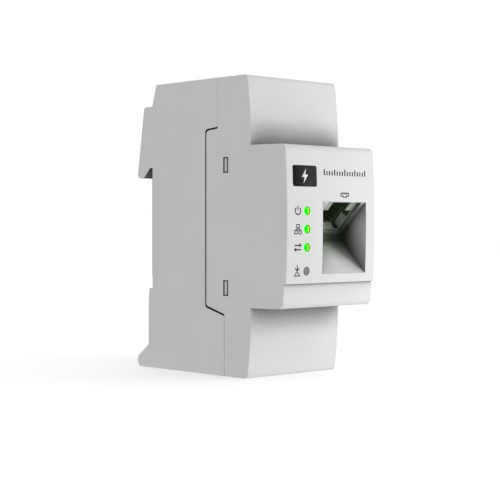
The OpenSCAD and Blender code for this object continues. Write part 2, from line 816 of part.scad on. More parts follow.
// Sheet-metal shield of the jack: front plate, top, sides and the spring fingers that touch the plug.
module lan_jack_shield() color("silver") jack_frame() {
    difference() {
        jack_block([-jack_half_w, jack_half_w], jack_u, jack_w);
        jack_block([-jack_half_w + shield_t, jack_half_w - shield_t],
                   [jack_u[0] + shield_t, jack_u[1] + over], [jack_w[0] + shield_t, jack_w[1] + over]);
        jack_block([-jack_mouth_half, jack_mouth_half], [jack_slot_u[0], jack_mouth_u],
                   [0, jack_w[0] + over]);
        jack_block([-jack_notch_half, jack_notch_half], [jack_notch_u, jack_mouth_u],
                   [0, jack_w[0] + over]);
    }
    both_sides() translate([0, 0, -side_finger_u[1]]) linear_extrude(side_finger_u[1] - side_finger_u[0])
        polygon(strip([[jack_mouth_half + 0.1, finger_w[0]],
                       [jack_mouth_half + 0.1 - side_finger_in, finger_w[1]]], finger_t));
    translate([-floor_finger_half, 0, 0]) rotate([90, 0, 90]) linear_extrude(2 * floor_finger_half)
        polygon(strip([[finger_w[0], -jack_mouth_u - 0.1],
                       [finger_w[1], -jack_mouth_u - 0.1 + floor_finger_in]], finger_t));
}

// Eight spring contacts that rise from the floor of the jack.
module lan_contacts() color("gold") jack_frame()
    for (i = [0:contact_count - 1]) {
        x = (i - (contact_count - 1) / 2) * contact_pitch;
        floor_z = -jack_slot_u[1];
        translate([x - contact_w / 2, 0, 0]) rotate([90, 0, 90]) linear_extrude(contact_w)
            polygon(strip([[3.7, floor_z - 0.5], [4.7, floor_z - 0.3], [9.6, floor_z + 2.6],
                           [10.4, floor_z + 2.6]], 0.35));
    }

// Insulating block over a row of spring-clamp terminals; s is 1 for a power terminal.
module terminal_block(x_range, poles, s) {
    y0 = -entry_depth;
    depth = chamber_d * s + (1 - s) * block_roof;
    difference() {
        block(x_range, [y0 + chamber_v[0] * s - 0.9, y0 + chamber_v[1] * s + 0.9],
              [block_end - depth, block_end]);
        for (x = poles) {
            block([x - chamber_half * s, x + chamber_half * s],
                  [y0 + chamber_v[0] * s, y0 + chamber_v[1] * s],
                  [block_end - depth - over, block_end - block_roof]);
            block([x - entry_half * s, x + entry_half * s], [y0 - entry_half * s, y0 + entry_half * s],
                  [block_end - 3, block_end + over]);
            block([x - slot_half * s, x + slot_half * s], [y0 + slot_v[0] * s, y0 + slot_v[1] * s],
                  [block_end - 3, block_end + over]);
        }
    }
}

// Release key of one terminal: pressed with a screwdriver, it bends the clamp spring open.
module release_key(x, s) {
    y0 = -entry_depth;
    key_d = [for (d = key_tip) block_roof + (d - block_roof) * s];
    side(x - key_half * s, x + key_half * s, [
        [y0 + key_v[0] * s, block_end + key_head], [y0 + key_v[0] * s, block_end - key_d[1]],
        [y0 + key_v[1] * s, block_end - key_d[0]], [y0 + key_v[1] * s, block_end + key_head]]);
    block([x - key_flange * s, x + key_flange * s], [y0 + key_v[0] * s, y0 + key_v[1] * s],
          [block_end - block_roof - (key_flange_d[1] - block_roof) * s, block_end - key_flange_d[0]]);
}

// Bent leaf spring that presses the wire against the contact.
module clamp_spring(x, s) {
    path = [for (p = concat(clamp_loop, [clamp_tip])) [-entry_depth + p.x * s,
        block_end - block_roof - (p.y - block_roof) * s]];
    side(x - clamp_half * s, x + clamp_half * s, strip(path, clamp_t * s));
}

module input_terminal_block() color("lightgray") bottom_end() terminal_block(power_block_x, power_x, 1);

module output_terminal_block() color("lightgray") terminal_block(power_block_x, power_x, 1);

module bus_terminal_block() color("lightgray") terminal_block(bus_block_x, bus_x, bus_scale);

module power_release(x) color("darkorange") release_key(x, 1);

module bus_release(x) color("darkorange") release_key(x, bus_scale);

module power_clamp(x) color("silver") clamp_spring(x, 1);

module bus_clamp(x) color("silver") clamp_spring(x, bus_scale);

// Busbar half from a clamp at one end to height z_stop on the back wall.
module busbar(x, z_stop) {
    path = [[bar_front_y, bar_end_z], [bar_front_y, bar_run_z],
            [bar_back_y, bar_run_z], [bar_back_y, z_stop]];
    side(x - busbar_w / 2, x + busbar_w / 2, strip(path, busbar_t));
}

module line_busbar_upper() color("peru") busbar(power_x[0], shunt_half);

module line_busbar_lower() color("peru") bottom_end() busbar(power_x[0], shunt_half);

module neutral_busbar() color("peru") {
    busbar(power_x[1], -over);
    bottom_end() busbar(power_x[1], -over);
}

// Resistance strip between the two halves of the line busbar.
module current_shunt() color("dimgray")
    block([power_x[0] - busbar_w / 2, power_x[0] + busbar_w / 2],
          [bar_back_y - busbar_t / 2, bar_back_y + busbar_t / 2], [-shunt_half, shunt_half]);

// Two measuring leads from the shunt's ends to the main board.
module shunt_leads() color("red") {
    x0 = power_x[0] + sense_in;
    y0 = bar_back_y - busbar_t / 2;
    for (z = [-sense_z, sense_z]) {
        rod_y(x0, z, sense_r, [y0 - sense_out, y0]);
        translate([x0, y0 - sense_out, z]) sphere(sense_r);
        translate([x0, y0 - sense_out, z]) rotate([0, 90, 0]) cylinder(r = sense_r, h = board_x - x0);
    }
}

// Contact strips of the bus terminals.
module bus_contacts() color("peru") {
    s = bus_scale;
    for (x = bus_x)
        block([x - 1, x + 1], [-entry_depth - bus_contact_v[0] * s, -entry_depth - bus_contact_v[1] * s],
              [bus_contact_z, block_end - bus_contact_end]);
}

// Leads from the bus terminals to the main board.
module bus_leads() color("red") {
    y = -entry_depth - (bus_contact_v[0] + bus_contact_v[1]) / 2 * bus_scale;
    for (i = [0:1]) {
        z = bus_lead_z[0] - i * bus_lead_z[1];
        translate([bus_x[i], y, z]) cylinder(r = bus_lead_r, h = bus_contact_z - z);
        translate([bus_x[i], y, z]) sphere(bus_lead_r);
        translate([board_x + board_t, y, z]) rotate([0, 90, 0])
            cylinder(r = bus_lead_r, h = bus_x[i] - board_x - board_t);
    }
}

rear_housing();
front_cover();
rail_latch();
latch_spring();
light_pipe(0);  // power_light_pipe
light_pipe(1);  // network_light_pipe
light_pipe(2);  // bus_light_pipe
status_leds();
reset_button();
reset_switch();
reset_switch_plunger();
front_board();
front_board_screws();
front_board_header();
main_board();
microcontroller();
metering_chip();
ethernet_chip();
power_transformer();
filter_capacitors();
surge_varistor();
fuse();
lan_board();
lan_board_header();
lan_transformer();
lan_jack();
lan_jack_shield();
lan_contacts();
input_terminal_block();
output_terminal_block();
bus_terminal_block();
line_busbar_lower();
line_busbar_upper();
current_shunt();
shunt_leads();
neutral_busbar();
bus_contacts();
bus_leads();
bottom_end() power_release(power_x[0]);  // line_in_release
bottom_end() power_release(power_x[1]);  // neutral_in_release
power_release(power_x[0]);  // line_out_release
power_release(power_x[1]);  // neutral_out_release
bottom_end() power_clamp(power_x[0]);  // line_in_spring
bottom_end() power_clamp(power_x[1]);  // neutral_in_spring
power_clamp(power_x[0]);  // line_out_spring
power_clamp(power_x[1]);  // neutral_out_spring
bus_release(bus_x[0]);  // bus_a_release
bus_release(bus_x[1]);  // bus_b_release
bus_clamp(bus_x[0]);  // bus_a_spring
bus_clamp(bus_x[1]);  // bus_b_spring
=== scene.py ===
"""Looks of the two-module smart electric meter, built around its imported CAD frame.

Lengths are in metres, except in the printing, the lens and cap profiles and the shade zones, which are
laid out in millimetres. +X is right seen from the front, -Y is the front, +Z is up.
"""
import math

import bmesh
import bpy
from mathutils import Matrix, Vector


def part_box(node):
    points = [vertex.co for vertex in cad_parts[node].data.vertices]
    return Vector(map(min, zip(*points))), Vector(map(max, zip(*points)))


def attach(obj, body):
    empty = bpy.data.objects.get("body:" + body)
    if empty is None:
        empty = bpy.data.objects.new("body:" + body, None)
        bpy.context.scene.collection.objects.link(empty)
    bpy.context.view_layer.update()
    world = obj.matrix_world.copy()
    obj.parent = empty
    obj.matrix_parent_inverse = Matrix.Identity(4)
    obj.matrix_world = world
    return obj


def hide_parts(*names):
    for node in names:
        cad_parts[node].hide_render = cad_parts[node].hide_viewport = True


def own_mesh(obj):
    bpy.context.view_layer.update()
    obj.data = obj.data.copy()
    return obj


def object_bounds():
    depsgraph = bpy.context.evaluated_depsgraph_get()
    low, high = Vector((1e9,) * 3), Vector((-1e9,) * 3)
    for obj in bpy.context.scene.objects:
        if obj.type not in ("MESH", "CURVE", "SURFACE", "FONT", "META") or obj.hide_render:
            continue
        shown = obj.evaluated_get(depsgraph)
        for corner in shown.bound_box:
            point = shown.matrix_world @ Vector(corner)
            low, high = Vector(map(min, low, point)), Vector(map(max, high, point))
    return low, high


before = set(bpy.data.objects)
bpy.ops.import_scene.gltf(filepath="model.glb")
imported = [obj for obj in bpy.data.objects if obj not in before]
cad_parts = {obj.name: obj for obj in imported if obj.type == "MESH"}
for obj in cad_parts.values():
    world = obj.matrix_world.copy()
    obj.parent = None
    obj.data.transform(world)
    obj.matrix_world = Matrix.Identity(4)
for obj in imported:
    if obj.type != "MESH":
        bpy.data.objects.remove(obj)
cad_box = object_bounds()
MM = 0.001
METER = "meter"

# ---------------------------------------------------------------- places
# The box comes from the frame. The face's curve and the seam's depths match the CAD source.
body_low, body_high = cad_box
HALF_W = body_high.x
HALF_H = body_high.z
FACE_Y = body_low.y
FACE_MID_Z = 1.8 * MM
FACE_R = 313 * MM
SEAM_TOP_Y = -30.1 * MM
SEAM_LOW_Y = -32.9 * MM


def node_centre(node):
    """Middle of a CAD node's box."""
    low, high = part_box(node)
    return (low + high) / 2


def face_y(z):
    """Depth of the barrel-shaped front face at height z."""
    return FACE_Y + (z - FACE_MID_Z) ** 2 / (2 * FACE_R)


# ---------------------------------------------------------------- camera
CAMERA_AT = (-0.27184, -0.31548, 0.0)
CAMERA_TURN = 43.056
CAMERA_LENS = 95.27
CAMERA_SHIFT_Y = -0.035


def make_camera():
    data = bpy.data.cameras.new("camera")
    data.lens = CAMERA_LENS
    data.sensor_width = 36
    data.sensor_fit = "HORIZONTAL"
    data.shift_y = CAMERA_SHIFT_Y
    data.clip_start = 0.01
    data.clip_end = 50
    camera = bpy.data.objects.new("camera", data)
    camera.location = CAMERA_AT
    camera.rotation_euler = (math.radians(90), 0, math.radians(-CAMERA_TURN))
    bpy.context.scene.collection.objects.link(camera)
    bpy.context.scene.camera = camera


make_camera()


# ---------------------------------------------------------------- materials
class Tree:
    """Short calls for building one material's nodes."""

    def __init__(self, name):
        self.material = bpy.data.materials.new(name)
        self.material.use_nodes = True
        self.nodes = self.material.node_tree.nodes
        self.links = self.material.node_tree.links
        self.shader = self.nodes["Principled BSDF"]
        self.place = self.nodes.new("ShaderNodeTexCoord").outputs["Object"]

    def set(self, **values):
        """Sets constant values on the shader's own sockets, such as coat_weight."""
        for key, value in values.items():
            self.shader.inputs[key.replace("_", " ").title().replace("Ior", "IOR")].default_value = value

    def node(self, kind, **inputs):
        """A node of one kind, with numbers or sockets for its named inputs."""
        node = self.nodes.new("ShaderNode" + kind)
        for key, value in inputs.items():
            self.feed(node.inputs[key.replace("_", " ")], value)
        return node

    def feed(self, socket, value):
        if isinstance(value, bpy.types.NodeSocket):
            self.links.new(value, socket)
        elif hasattr(socket.default_value, "__len__") and len(socket.default_value) == 4:
            socket.default_value = (*value, 1)
        else:
            socket.default_value = value

    def noise(self, scale, detail=2.0, rough=0.5, vector=None):
        return self.node(
            "TexNoise", Scale=scale, Detail=detail, Roughness=rough, Vector=vector or self.place
        ).outputs["Fac"]

    def stretched(self, scale):
        """Object coordinates multiplied by three factors."""
        return self.node("Mapping", Vector=self.place, Scale=scale).outputs["Vector"]

    def ramp(self, source, stops):
        node = self.node("ValToRGB", Fac=source)
        elements = node.color_ramp.elements
        while len(elements) < len(stops):
            elements.new(0.5)
        for element, (at, colour) in zip(elements, stops):
            element.position = at
            element.color = (*colour, 1)
        return node.outputs["Color"]

    def span(self, source, low, high, to_low, to_high):
        """Carries the range low to high over to another range, clamped."""
        node = self.node(
            "MapRange", Value=source, From_Min=low, From_Max=high, To_Min=to_low, To_Max=to_high
        )
        return node.outputs["Result"]

    def mix(self, factor, a, b, mode="MIX"):
        node = self.nodes.new("ShaderNodeMix")
        node.data_type = "RGBA"
        node.blend_type = mode
        self.feed(node.inputs[0], factor)
        self.feed(node.inputs[6], a)
        self.feed(node.inputs[7], b)
        return node.outputs[2]

    def math(self, operation, a, b=0.0):
        node = self.nodes.new("ShaderNodeMath")
        node.operation = operation
        self.feed(node.inputs[0], a)
        self.feed(node.inputs[1], b)
        return node.outputs[0]

    def bump(self, height, strength, distance):
        """Adds a bump on top of those already there."""
        node = self.node("Bump", Strength=strength, Distance=distance, Height=height)
        if self.shader.inputs["Normal"].is_linked:
            self.links.new(self.shader.inputs["Normal"].links[0].from_socket, node.inputs["Normal"])
        self.links.new(node.outputs["Normal"], self.shader.inputs["Normal"])

    def colour(self, socket):
        self.links.new(socket, self.shader.inputs["Base Color"])

    def roughness(self, socket):
        self.links.new(socket, self.shader.inputs["Roughness"])

    def inside(self, low, high, soft):
        """1 within a box and 0 outside, rising over the width soft inside each face."""
        parts = self.node("SeparateXYZ", Vector=self.place)
        mask = None
        for axis, start, end, width in zip("XYZ", low, high, soft):
            rise = self.span(parts.outputs[axis], start, start + width, 0, 1)
            fall = self.span(parts.outputs[axis], end - width, end, 1, 0)
            both = self.math("MULTIPLY", rise, fall)
            mask = both if mask is None else self.math("MULTIPLY", mask, both)
        return mask

    def painted_shade(self, colour, reach, power):
        """Painted shade: darkens a colour in hollows and inner corners by ambient occlusion."""
        node = self.node("AmbientOcclusion", Distance=reach)
        node.samples = 6
        open_air = self.math("POWER", node.outputs["AO"], power)
        return self.mix(open_air, (0.0, 0.0, 0.0), colour)


def shade(colour, factor):
    return tuple(min(1.0, c * factor) for c in colour)


GRAIN = 2600
GRAIN_DEPTH = 0.12
MOTTLE = 0.02


def plastic_tree(name, colour, rough):
    """Injection-moulded plastic: spark-eroded grain, faint flow mottling, uneven gloss."""
    tree = Tree(name)
    soft = tree.noise(70, 3, 0.55)
    fine = tree.noise(GRAIN, 3, 0.6)
    base = tree.ramp(soft, [(0.25, shade(colour, 1 - MOTTLE)), (0.75, shade(colour, 1 + MOTTLE))])
    speck = tree.ramp(fine, [(0.3, shade((1, 1, 1), 0.96)), (0.7, (1, 1, 1))])
    tree.base = tree.mix(1.0, base, speck, "MULTIPLY")
    tree.colour(tree.base)
    tree.roughness(tree.span(fine, 0.3, 0.7, rough - 0.06, rough + 0.08))
    tree.bump(fine, GRAIN_DEPTH, 0.00006)
    tree.bump(soft, 0.03, 0.0004)
    return tree


def moulded_plastic(name, colour, rough):
    return plastic_tree(name, colour, rough).material


SHELL_ROUGH = 0.52
# Painted lamp light: a green tint on the cover near each lamp, and a painted glow just round it.
PAINTED_LAMP_LIGHT_COLOUR = (0.66, 1.0, 0.52)
PAINTED_LAMP_LIGHT = 0.22
PAINTED_LAMP_LIGHT_REACH = (1.15 * MM, 5.0 * MM)
PAINTED_GLOW_COLOUR = (0.2, 1.0, 0.08, 1)
PAINTED_GLOW = 0.3
PAINTED_GLOW_REACH = (1.2 * MM, 1.9 * MM)
# Reach and strength of the painted shade in hollows and inner corners.
SHADE_REACH = 9 * MM
SHADE_POWER = 2.0


def shell_plastic(name, colour, lamps, shade_boxes):
    """Light grey shell: painted shade in boxes, each (low, high, soft, tint), and painted green light and
    glow round the lamps.
    """
    tree = plastic_tree(name, colour, SHELL_ROUGH)
    tree.set(specular_ior_level=0.25)
    base = tree.base
    glow = halo = None
    for lamp in lamps:
        away = tree.nodes.new("ShaderNodeVectorMath")
        away.operation = "DISTANCE"
        away.inputs[1].default_value = lamp
        tree.links.new(tree.place, away.inputs[0])
        near = tree.math("POWER", tree.span(away.outputs["Value"], *PAINTED_LAMP_LIGHT_REACH, 1, 0), 2.4)
        edge = tree.math("POWER", tree.span(away.outputs["Value"], *PAINTED_GLOW_REACH, 1, 0), 2.0)
        glow = near if glow is None else tree.math("ADD", glow, near)
        halo = edge if halo is None else tree.math("ADD", halo, edge)
    if glow is not None:
        # Painted green lamp light on the cover, and a painted glow that makes the cover emit round each
        # lamp.
        base = tree.mix(tree.math("MULTIPLY", glow, PAINTED_LAMP_LIGHT), base, PAINTED_LAMP_LIGHT_COLOUR, "MULTIPLY")
        tree.set(emission_color=PAINTED_GLOW_COLOUR)
        tree.links.new(tree.math("MULTIPLY", halo, PAINTED_GLOW), tree.shader.inputs["Emission Strength"])
    # Painted shade: each box multiplies the colour by its tint.
    for low, high, soft, tint in shade_boxes:
        base = tree.mix(tree.inside(low, high, soft), base, tint, "MULTIPLY")
    # Painted shade by ambient occlusion over the whole shell.
    tree.colour(tree.painted_shade(base, SHADE_REACH, SHADE_POWER))
    return tree.material


def worked_metal(name, colour, rough=0.28, stretch=(1, 1, 14), scale=900, relief=0.00004):
    """Rolled or plated metal with fine drawn lines and uneven gloss."""
    tree = Tree(name)
    tree.set(metallic=1.0)
    lines = tree.noise(scale, 3, 0.6, tree.stretched(stretch))
    cloud = tree.noise(240, 2)
    base = tree.ramp(lines, [(0.25, shade(colour, 0.86)), (0.75, shade(colour, 1.08))])
    tint = tree.ramp(cloud, [(0.3, (0.93, 0.93, 0.93)), (0.7, (1, 1, 1))])
    tree.colour(tree.mix(1.0, base, tint, "MULTIPLY"))
    tree.roughness(tree.span(lines, 0.25, 0.75, rough - 0.08, rough + 0.12))
    tree.bump(lines, 0.15, relief)
    return tree.material


def plated_sheet(name, colour):
    """Matt nickel-plated sheet: half metal, half dull haze."""
    tree = Tree(name)
    lines = tree.noise(1400, 3, 0.6, tree.stretched((1, 6, 1)))
    tone = tree.ramp(lines, [(0.25, shade(colour, 0.88)), (0.75, shade(colour, 1.06))])
    # Painted shade: darker in hollows and inner corners by ambient occlusion.
    tree.colour(tree.painted_shade(tone, 4 * MM, 1.2))
    tree.roughness(tree.span(lines, 0.25, 0.75, 0.4, 0.55))
    tree.set(metallic=0.3)
    tree.bump(lines, 0.12, 0.00003)
    return tree.material


def circuit_board(name):
    """Green solder resist over copper tracks, with a woven laminate under it."""
    tree = Tree(name)
    turn = tree.node("Mapping", Vector=tree.place, Rotation=(math.radians(90), 0, math.radians(90)))
    cells = tree.node(
        "TexBrick", Scale=420.0, Color1=(0.012, 0.13, 0.05), Color2=(0.016, 0.17, 0.065),
        Mortar=(0.03, 0.26, 0.11), Mortar_Size=0.035, Vector=turn.outputs["Vector"],
    )
    weave = tree.noise(3200, 2)
    tint = tree.ramp(weave, [(0.3, (0.85, 0.85, 0.85)), (0.7, (1, 1, 1))])
    tree.colour(tree.mix(1.0, cells.outputs["Color"], tint, "MULTIPLY"))
    tree.roughness(tree.span(weave, 0.3, 0.7, 0.26, 0.36))
    tree.bump(cells.outputs["Fac"], 0.2, 0.00003)
    return tree.material


# Curve of the crescent's edge, in metres across per square metre up.
LAMP_BOW = 120.0


def light_lens(name, centre, radius):
    """Lit light pipe: the lamp shows as a yellower crescent on the right, inside a darker rim."""
    tree = Tree(name)
    parts = tree.node("SeparateXYZ", Vector=tree.place)
    across = tree.math("SUBTRACT", parts.outputs["X"], centre.x)
    up = tree.math("SUBTRACT", parts.outputs["Z"], centre.z)
    offset = tree.math("ADD", across, 0.1 * radius)
    up_squared = tree.math("MULTIPLY", up, up)
    dist = tree.math("SQRT", tree.math("ADD", tree.math("MULTIPLY", offset, offset), up_squared))
    bow = tree.math("ADD", across, tree.math("MULTIPLY", up_squared, LAMP_BOW))
    crescent = tree.span(bow, 0.08 * radius, 0.38 * radius, 0, 1)
    wavy = tree.span(tree.noise(1500, 2), 0.3, 0.7, 0.85, 1.0)
    halves = tree.mix(tree.math("MULTIPLY", crescent, wavy), (0.0, 1.0, 0.0), (0.42, 0.95, 0.03))
    rim = tree.span(dist, 0.8 * radius, 1.0 * radius, 0, 1)
    lit = tree.mix(rim, halves, (0.01, 0.22, 0.005))
    tree.colour(tree.mix(0.85, lit, (0, 0, 0)))
    tree.links.new(lit, tree.shader.inputs["Emission Color"])
    tree.set(emission_strength=1.0, roughness=0.25, specular_ior_level=0.05)
    return tree.material


def printing_ink(name, colour):
    """Pad-printed ink: slightly uneven coverage and a satin surface."""
    tree = Tree(name)
    cover = tree.noise(2200, 3, 0.7)
    tree.set(specular_ior_level=0.1)
    tree.colour(tree.ramp(cover, [(0.3, shade(colour, 0.85)), (0.7, shade(colour, 1.2))]))
    tree.roughness(tree.span(cover, 0.3, 0.7, 0.55, 0.7))
    tree.bump(cover, 0.08, 0.00002)
    return tree.material


# ---------------------------------------------------------------- meshes
def link_piece(name, mesh, material, body=METER):
    piece = bpy.data.objects.new(name, mesh)
    bpy.context.scene.collection.objects.link(piece)
    mesh.materials.clear()
    mesh.materials.append(material)
    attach(piece, body)
    return piece


def mesh_from(shape, name):
    """Turns a bmesh into a mesh without the layers that an imported mesh brings along."""
    bmesh.ops.recalc_face_normals(shape, faces=shape.faces)
    mesh = bpy.data.meshes.new(name)
    shape.to_mesh(mesh)
    shape.free()
    for layer in ("custom_normal", "sharp_edge", "sharp_face"):
        if layer in mesh.attributes:
            mesh.attributes.remove(mesh.attributes[layer])
    return mesh


SHARP_ANGLE = math.radians(35)
AREA_WEIGHT = 80
WELD_DIST = 2e-6
FLAT_ANGLE = math.radians(0.06)


def even_normals(piece):
    """Smooth shading with true flats: sharp edges kept, normals weighted by face area."""
    piece.data.shade_smooth()
    piece.data.set_sharp_from_angle(angle=SHARP_ANGLE)
    weigh = piece.modifiers.new("weigh", "WEIGHTED_NORMAL")
    weigh.keep_sharp = True
    weigh.weight = AREA_WEIGHT


def cad_copy(node):
    """A CAD node's mesh as a bmesh, welded, with flat faces whole again."""
    shape = bmesh.new()
    shape.from_mesh(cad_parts[node].data)
    bmesh.ops.remove_doubles(shape, verts=shape.verts, dist=WELD_DIST)
    bmesh.ops.dissolve_limit(
        shape, angle_limit=FLAT_ANGLE, verts=shape.verts, edges=shape.edges, use_dissolve_boundaries=False
    )
    return shape


def is_convex(edge, least=20):
    return len(edge.link_faces) == 2 and edge.calc_face_angle_signed(0) > math.radians(least)


def every_convex(radius, least=20):
    """The same radius on every convex edge."""
    return lambda edge: radius if is_convex(edge, least) else 0


def refined(node, name, material, radius_of, body=METER, segments=4):
    """Stands for a CAD node with the same shape and rounded edges; radius_of gives each edge's radius."""
    shape = cad_copy(node)
    weights = shape.edges.layers.float.new("bevel_weight_edge")
    widest = 0
    radii = {}
    for edge in shape.edges:
        radius = radius_of(edge)
        if radius:
            radii[edge] = radius
            widest = max(widest, radius)
    for edge, radius in radii.items():
        edge[weights] = radius / widest
    piece = link_piece(name, mesh_from(shape, name), material, body)
    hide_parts(node)
    bevel = piece.modifiers.new("round", "BEVEL")
    bevel.limit_method = "WEIGHT"
    bevel.width = widest
    bevel.segments = segments
    bevel.use_clamp_overlap = True
    even_normals(piece)
    return piece


def on_side(edge):
    """Edge in one of the two flat side faces."""
    return all(abs(abs(v.co.x) - HALF_W) < 0.02 * MM for v in edge.verts)


WINDOW_Y = (-34.7 * MM, -32.4 * MM)
WINDOW_Z = (15.3 * MM, 20 * MM)


def in_window(edge):
    """Edge round a snap window."""
    return all(
        WINDOW_Y[0] < v.co.y < WINDOW_Y[1] and WINDOW_Z[0] < abs(v.co.z) < WINDOW_Z[1] for v in edge.verts
    )


def behind_seam(edge, slack):
    """Edge at or behind the split between the two shells."""
    return all(v.co.y > (SEAM_TOP_Y if v.co.z > 0 else SEAM_LOW_Y) - slack for v in edge.verts)


# ---------------------------------------------------------------- the two shells
SHELL_GREY = (0.60, 0.605, 0.60)
BUTTON_GREY = (0.1, 0.102, 0.1)
LAMP_NODES = ["power_light_pipe", "network_light_pipe", "bus_light_pipe"]
lamps = [Vector((node_centre(n).x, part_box(n)[0].y, node_centre(n).z)) for n in LAMP_NODES]


def zone(low, high, soft, tint):
    """A box of painted shade for shell_plastic, given in mm."""
    return [tuple(v * MM for v in corner) for corner in (low, high, soft)] + [tint]


# Painted shade: the whole recess, the sill under the jack, the frame beside the jack, the right wall.
PORT_SHADES = [
    zone((-5, -54.6, -12), (16, -40, 7), (0.5, 5.6, 2), (0.4, 0.47, 0.36)),
    zone((-5, -49.2, -4.4), (16, -47, -2.2), (0.5, 0.25, 0.3), (0.3, 0.35, 0.27)),
    zone((12.6, -58.2, -2.6), (14.22, -47, 7.5), (0.06, 0.5, 0.3), (0.62, 0.64, 0.6)),
    zone((14.1, -53.5, -12), (15.5, -44, 7), (0.1, 2, 2), (0.72, 0.74, 0.7)),
]
# Painted shade under the hook.
HOOK_SHADES = [zone((-17.9, -0.1, 14), (17.9, 4.3, 19), (0.1, 0.05, 0.1), (0.42, 0.42, 0.42))]
SIDE_EDGE_R = 0.5 * MM
OPENING_EDGE_R = 0.1 * MM
SEAM_EDGE_R = 0.08 * MM
HOUSING_EDGE_R = 0.3 * MM
HOOK_EDGE_Y = 6.5 * MM
END_FACE_Z = 42 * MM


def is_front_opening(edge):
    """Edge of the port, a light or the button where it meets the front face."""
    return not on_side(edge) and all(
        abs(v.co.y - face_y(v.co.z)) < 0.05 * MM and abs(v.co.x) < HALF_W - 1 * MM for v in edge.verts
    )


def cover_radius(edge):
    if not is_convex(edge):
        return 0
    if on_side(edge):
        return SEAM_EDGE_R if in_window(edge) or behind_seam(edge, 0.7 * MM) else SIDE_EDGE_R
    return OPENING_EDGE_R if is_front_opening(edge) else 0


def housing_radius(edge):
    if not is_convex(edge) or not on_side(edge):
        return 0
    if all(v.co.y > HOOK_EDGE_Y for v in edge.verts):
        return SIDE_EDGE_R
    spot = edge.verts[0].co
    return SEAM_EDGE_R if spot.y < -20 * MM and abs(spot.z) < END_FACE_Z else HOUSING_EDGE_R


cover_plastic = shell_plastic("cover_plastic", SHELL_GREY, lamps, PORT_SHADES)
housing_plastic = shell_plastic("housing_plastic", SHELL_GREY, [], HOOK_SHADES)
refined("front_cover", "front_cover_shell", cover_plastic, cover_radius)
refined("rear_housing", "rear_housing_shell", housing_plastic, housing_radius)


# ---------------------------------------------------------------- lights and button
def depth_levels(node):
    """The distinct depths in a turned node, from front to back."""
    return sorted({round(v.co.y, 6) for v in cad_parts[node].data.vertices})


def turned(name, node, rings, material, body, sides=64):
    """Stands for a round node: rings are (radius, depth) pairs turned about its own Y axis."""
    centre = node_centre(node)
    shape = bmesh.new()
    loops = []
    for radius, depth in rings:
        if radius:
            spots = [
                (centre.x + radius * math.cos(angle), depth, centre.z + radius * math.sin(angle))
                for angle in (math.tau * i / sides for i in range(sides))
            ]
        else:
            spots = [(centre.x, depth, centre.z)]
        loops.append([shape.verts.new(spot) for spot in spots])
    for near, far in zip(loops, loops[1:]):
        for i in range(sides):
            k = (i + 1) % sides
            corners = [near[i % len(near)], near[k % len(near)], far[k % len(far)], far[i % len(far)]]
            shape.faces.new(list(dict.fromkeys(corners)))
    piece = link_piece(name, mesh_from(shape, name), material, body)
    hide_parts(node)
    even_normals(piece)
    return piece


# Front ends of the light pipes and the button, as (radius, depth) in mm.
LENS_R = 1.2 * MM
LENS_DOME = [
    (0.0, 0.02), (0.3, 0.03), (0.6, 0.05), (0.85, 0.09),
    (1.02, 0.15), (1.13, 0.24), (1.18, 0.33), (1.2, 0.45),
]
LENS_FLANGE = 1.8 * MM
BUTTON_FLANGE = 2.05 * MM
BUTTON_CAP = [(0.0, 0.04), (0.5, 0.03), (0.85, 0.01), (1.0, 0.0), (1.07, 0.02), (1.12, 0.07), (1.15, 0.15)]


def round_pipe(name, node, cap, flange, material, body):
    """A rod with a shaped front end and a flange behind the front wall."""
    front, flange_front, flange_back, back = depth_levels(node)
    rod = cap[-1][0] * MM
    rings = [(r * MM, front + d * MM) for r, d in cap]
    rings += [(rod, flange_front), (flange, flange_front), (flange, flange_back), (rod, flange_back)]
    return turned(name, node, rings + [(rod, back), (0, back)], material, body)


for node in LAMP_NODES:
    lens = light_lens("lens_" + node, node_centre(node), LENS_R)
    round_pipe(node + "_lens", node, LENS_DOME, LENS_FLANGE, lens, METER)
button_plastic = moulded_plastic("button_plastic", BUTTON_GREY, 0.4)
round_pipe(
    "reset_button_cap", "reset_button", BUTTON_CAP, BUTTON_FLANGE, button_plastic, "button"
)


# ---------------------------------------------------------------- printing on the front
# Line widths and positions of the printing are in mm.
INK_T = 0.008 * MM
INK_ROOT = 0.03 * MM
LINE_W = 0.34
THIN_W = 0.28
SOCKET_W = 0.27
PIN_W = 0.24
TICK_W = 0.46
SHORT_TICK = 0.7
ICON_X = -13.65
POWER_Z = 4.35
NETWORK_Z = -0.75
EXCHANGE_Z = -5.8
PRESS_Z = -12.4
SOCKET_AT = (5.3, 8.95)
SCALE_X = (-2.9, 14.0)
SCALE_Z = (14.4, 16.1)
SOCKET_OUTLINE = [
    (-1.6, 0.55), (-1.6, -0.3), (-0.7, -0.3), (-0.7, -0.62),
    (0.7, -0.62), (0.7, -0.3), (1.6, -0.3), (1.6, 0.55),
]


def arc(cx, cz, radius, start, end, steps=20):
    """Points on a circle, from one angle in degrees to another."""
    angles = [math.radians(start + (end - start) * i / steps) for i in range(steps + 1)]
    return [(cx + radius * math.cos(a), cz + radius * math.sin(a)) for a in angles]


def rounded_box(x0, x1, z0, z1, radius):
    corners = [(x1, z1, 0), (x0, z1, 90), (x0, z0, 180), (x1, z0, 270)]
    points = []
    for x, z, start in corners:
        cx = x - math.copysign(radius, x - (x0 + x1) / 2)
        cz = z - math.copysign(radius, z - (z0 + z1) / 2)
        points += arc(cx, cz, radius, start, start + 90, 6)
    return points


